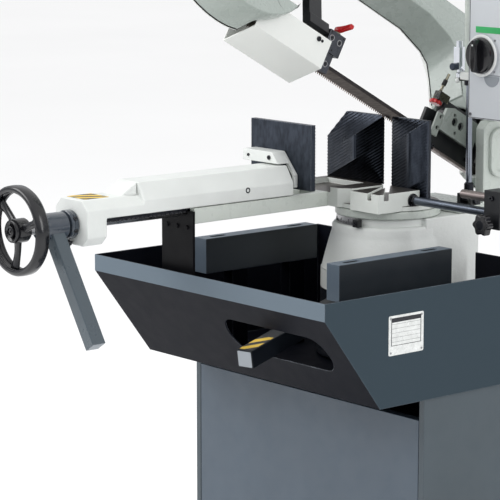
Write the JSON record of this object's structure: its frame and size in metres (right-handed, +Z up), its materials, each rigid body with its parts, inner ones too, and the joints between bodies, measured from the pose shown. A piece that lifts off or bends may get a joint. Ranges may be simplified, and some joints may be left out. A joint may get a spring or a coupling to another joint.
{
  "type": "band saw",
  "caption": "Pull-down mitre band saw on a cabinet with a chip tray, a quick-clamp vice, a swivelling bow and a lift cylinder.",
  "frame": {"origin": "on the floor, under the axis that the bow swivels about", "axes": "+Z up, -Y towards the operator, +X towards the side where cut bars come out"},
  "size_m": [0.767, 1.4281, 1.5627],
  "materials": {
    "white_paint": "textured semi-gloss enamel on a casting",
    "grey_paint": "light grey-green semi-gloss enamel",
    "panel_paint": "smooth light grey powder coat",
    "slate_paint": "slate blue-grey fine-texture powder coat",
    "tray_paint": "near-black satin powder coat",
    "black_paint": "black satin paint",
    "jaw_steel": "blued and ground steel",
    "steel": "machined bright steel",
    "dark_steel": "black oxide steel",
    "blade_steel": "rolled spring steel with cut teeth",
    "cast_iron": "machined cast iron",
    "chrome": "polished chrome",
    "black_plastic": "black moulded plastic",
    "red_plastic": "red moulded plastic"
  },
  "bodies": {
    "base": {"cabinet": "slate_paint", "front_panel": "slate_paint", "chip_tray": "tray_paint", "left_rail": "slate_paint", "right_rail": "slate_paint", "base_casting": "white_paint", "mitre_pointer": "black_paint", "swivel_post": "steel", "bed_plate": "grey_paint", "table_block": "grey_paint", "fixed_jaw_left": "jaw_steel", "fixed_jaw_right": "jaw_steel", "vice_beam": "grey_paint", "beam_end_plate": "black_paint", "screw_nut": "steel", "stop_rod": "dark_steel", "coolant_tank": "black_plastic", "coolant_pump": "slate_paint"},
    "door": {"cabinet_door": "slate_paint"},
    "carriage": {"vice_carriage": "white_paint", "vice_rack": "dark_steel", "screw_collar": "black_paint"},
    "jaw": {"jaw_bracket": "white_paint", "moving_jaw": "jaw_steel"},
    "vice_wheel": {"handwheel": "black_plastic", "vice_screw": "steel"},
    "crank": {"crank_grip": "black_plastic"},
    "clamp": {"clamp_lever": "slate_paint"},
    "mitre_lock": {"mitre_lever": "slate_paint"},
    "stop_slider": {"stop_clamp": "black_paint", "stop_pin": "steel"},
    "stop_screw": {"stop_knob": "black_plastic"},
    "swivel": {"turntable": "grey_paint", "hinge_shaft": "steel", "angle_scale": "steel", "control_box": "panel_paint", "cylinder_clevis": "black_paint"},
    "main_switch": {"rotary_knob": "black_plastic"},
    "stop_switch": {"stop_button": "red_plastic"},
    "cylinder_rod": {"lift_rod": "chrome"},
    "cylinder_barrel": {"lift_cylinder": "white_paint"},
    "bow": {"bow_frame": "grey_paint", "blade_cover": "grey_paint", "blade": "blade_steel", "gearbox": "grey_paint", "motor": "slate_paint", "rear_guide_plate": "black_paint", "rear_guide_block": "grey_paint", "tension_bracket": "grey_paint", "cylinder_bracket": "white_paint"},
    "rear_wheel": {"drive_wheel": "cast_iron"},
    "tension": {"tension_slide": "steel", "idle_bearing": "steel"},
    "front_wheel": {"idle_wheel": "cast_iron"},
    "tension_wheel": {"tension_handwheel": "black_plastic"},
    "front_guide": {"front_guide_arm": "dark_steel", "front_guide_block": "dark_steel", "blade_guard": "white_paint"},
    "front_valve": {"front_tap_lever": "red_plastic"},
    "rear_valve": {"rear_tap_knob": "red_plastic"}
  },
  "joints": [
    {"name": "door_hinge", "type": "hinge", "parent": "base", "child": "door", "pos_m": [-0.252, 0.335, 0], "axis": [0, 0, 1], "range_deg": [0, 110]},
    {"name": "screw_turn", "type": "hinge", "parent": "carriage", "child": "vice_wheel", "pos_m": [-0.108, -0.8, 0.88], "axis": [0, 1, 0], "range_deg": [-3640, 9880]},
    {"name": "vice_slide", "type": "slide", "parent": "base", "child": "carriage", "axis": [0, 1, 0], "range_m": [-0.06, 0.164]},
    {"name": "crank_spin", "type": "hinge", "parent": "vice_wheel", "child": "crank", "pos_m": [-0.17002, -0.86, 0.85743], "axis": [0, 1, 0], "continuous": true},
    {"name": "clamp_turn", "type": "hinge", "parent": "carriage", "child": "clamp", "pos_m": [-0.108, -0.734, 0.88], "axis": [0, 1, 0], "range_deg": [0, 60]},
    {"name": "jaw_stroke", "type": "slide", "parent": "carriage", "child": "jaw", "axis": [0, 1, 0], "range_m": [0, 0.004]},
    {"name": "mitre_lock_turn", "type": "hinge", "parent": "base", "child": "mitre_lock", "pos_m": [0, 0, 0.7], "axis": [0, 0, 1], "range_deg": [-6.5, 10.5]},
    {"name": "stop_slide", "type": "slide", "parent": "base", "child": "stop_slider", "axis": [1, 0, 0], "range_m": [-0.12, 0.08]},
    {"name": "stop_screw_turn", "type": "hinge", "parent": "stop_slider", "child": "stop_screw", "pos_m": [0.322, -0.06, 0.866], "axis": [0, -1, 0], "range_deg": [0, 720]},
    {"name": "mitre_swivel", "type": "hinge", "parent": "base", "child": "swivel", "pos_m": [0, 0, 0.85], "axis": [0, 0, 1], "range_deg": [0, 45]},
    {"name": "main_switch_turn", "type": "hinge", "parent": "swivel", "child": "main_switch", "pos_m": [0.182, 0.06, 1.163], "axis": [0, -1, 0], "range_deg": [-90, 0]},
    {"name": "stop_switch_press", "type": "slide", "parent": "swivel", "child": "stop_switch", "axis": [0, 1, 0], "range_m": [0, 0.006], "stiffness_N_per_m": 400},
    {"name": "bow_lift", "type": "hinge", "parent": "swivel", "child": "bow", "pos_m": [0, 0.26, 0.958], "axis": [1, 0, 0], "range_deg": [-9, 28.3]},
    {"name": "cylinder_swing", "type": "hinge", "parent": "swivel", "child": "cylinder_rod", "pos_m": [0.1, 0.125, 0.869], "axis": [1, 0, 0], "range_deg": [-25, 25]},
    {"name": "cylinder_stroke", "type": "slide", "parent": "cylinder_rod", "child": "cylinder_barrel", "axis": [0, -0.0155, 0.9999], "range_m": [-0.12, 0.08]},
    {"name": "drive_spin", "type": "hinge", "parent": "bow", "child": "rear_wheel", "pos_m": [-0.07118, 0.35388, 0.99177], "axis": [0.8712, 0.2365, 0.4302], "continuous": true},
    {"name": "idle_spin", "type": "hinge", "parent": "tension", "child": "front_wheel", "pos_m": [-0.07118, -0.35592, 1.382], "axis": [0.8712, 0.2365, 0.4302], "continuous": true},
    {"name": "tension_turn", "type": "hinge", "parent": "bow", "child": "tension_wheel", "pos_m": [-0.00497, -0.51497, 1.512], "axis": [0, -0.8763, 0.4818], "range_deg": [-760, 40]},
    {"name": "tension_travel", "type": "slide", "parent": "bow", "child": "tension", "axis": [0, -0.8763, 0.4818], "range_m": [-0.006, 0]},
    {"name": "front_guide_slide", "type": "slide", "parent": "bow", "child": "front_guide", "axis": [0, 0.8763, -0.4818], "range_m": [0, 0.08]},
    {"name": "front_tap_turn", "type": "hinge", "parent": "front_guide", "child": "front_valve", "pos_m": [0.012, -0.14514, 1.21325], "axis": [0, 0.4818, 0.8763], "range_deg": [0, 90]},
    {"name": "rear_tap_turn", "type": "hinge", "parent": "bow", "child": "rear_valve", "pos_m": [0.012, 0.11683, 1.05668], "axis": [0, 0.4818, 0.8763], "range_deg": [-90, 0]}
  ],
  "couplings": [
    {"joint": "screw_turn", "follows": "vice_slide", "rad_per_m": 1047.2},
    {"joint": "jaw_stroke", "follows": "clamp_turn", "m_per_rad": 0.0038197},
    {"joint": "idle_spin", "follows": "drive_spin", "ratio": 1},
    {"joint": "tension_turn", "follows": "tension_travel", "rad_per_m": 2094.4},
    {"joint": "cylinder_swing", "follows": "bow_lift", "ratio": 0.84879},
    {"joint": "cylinder_stroke", "follows": "bow_lift", "m_per_rad": -0.14693}
  ]
}
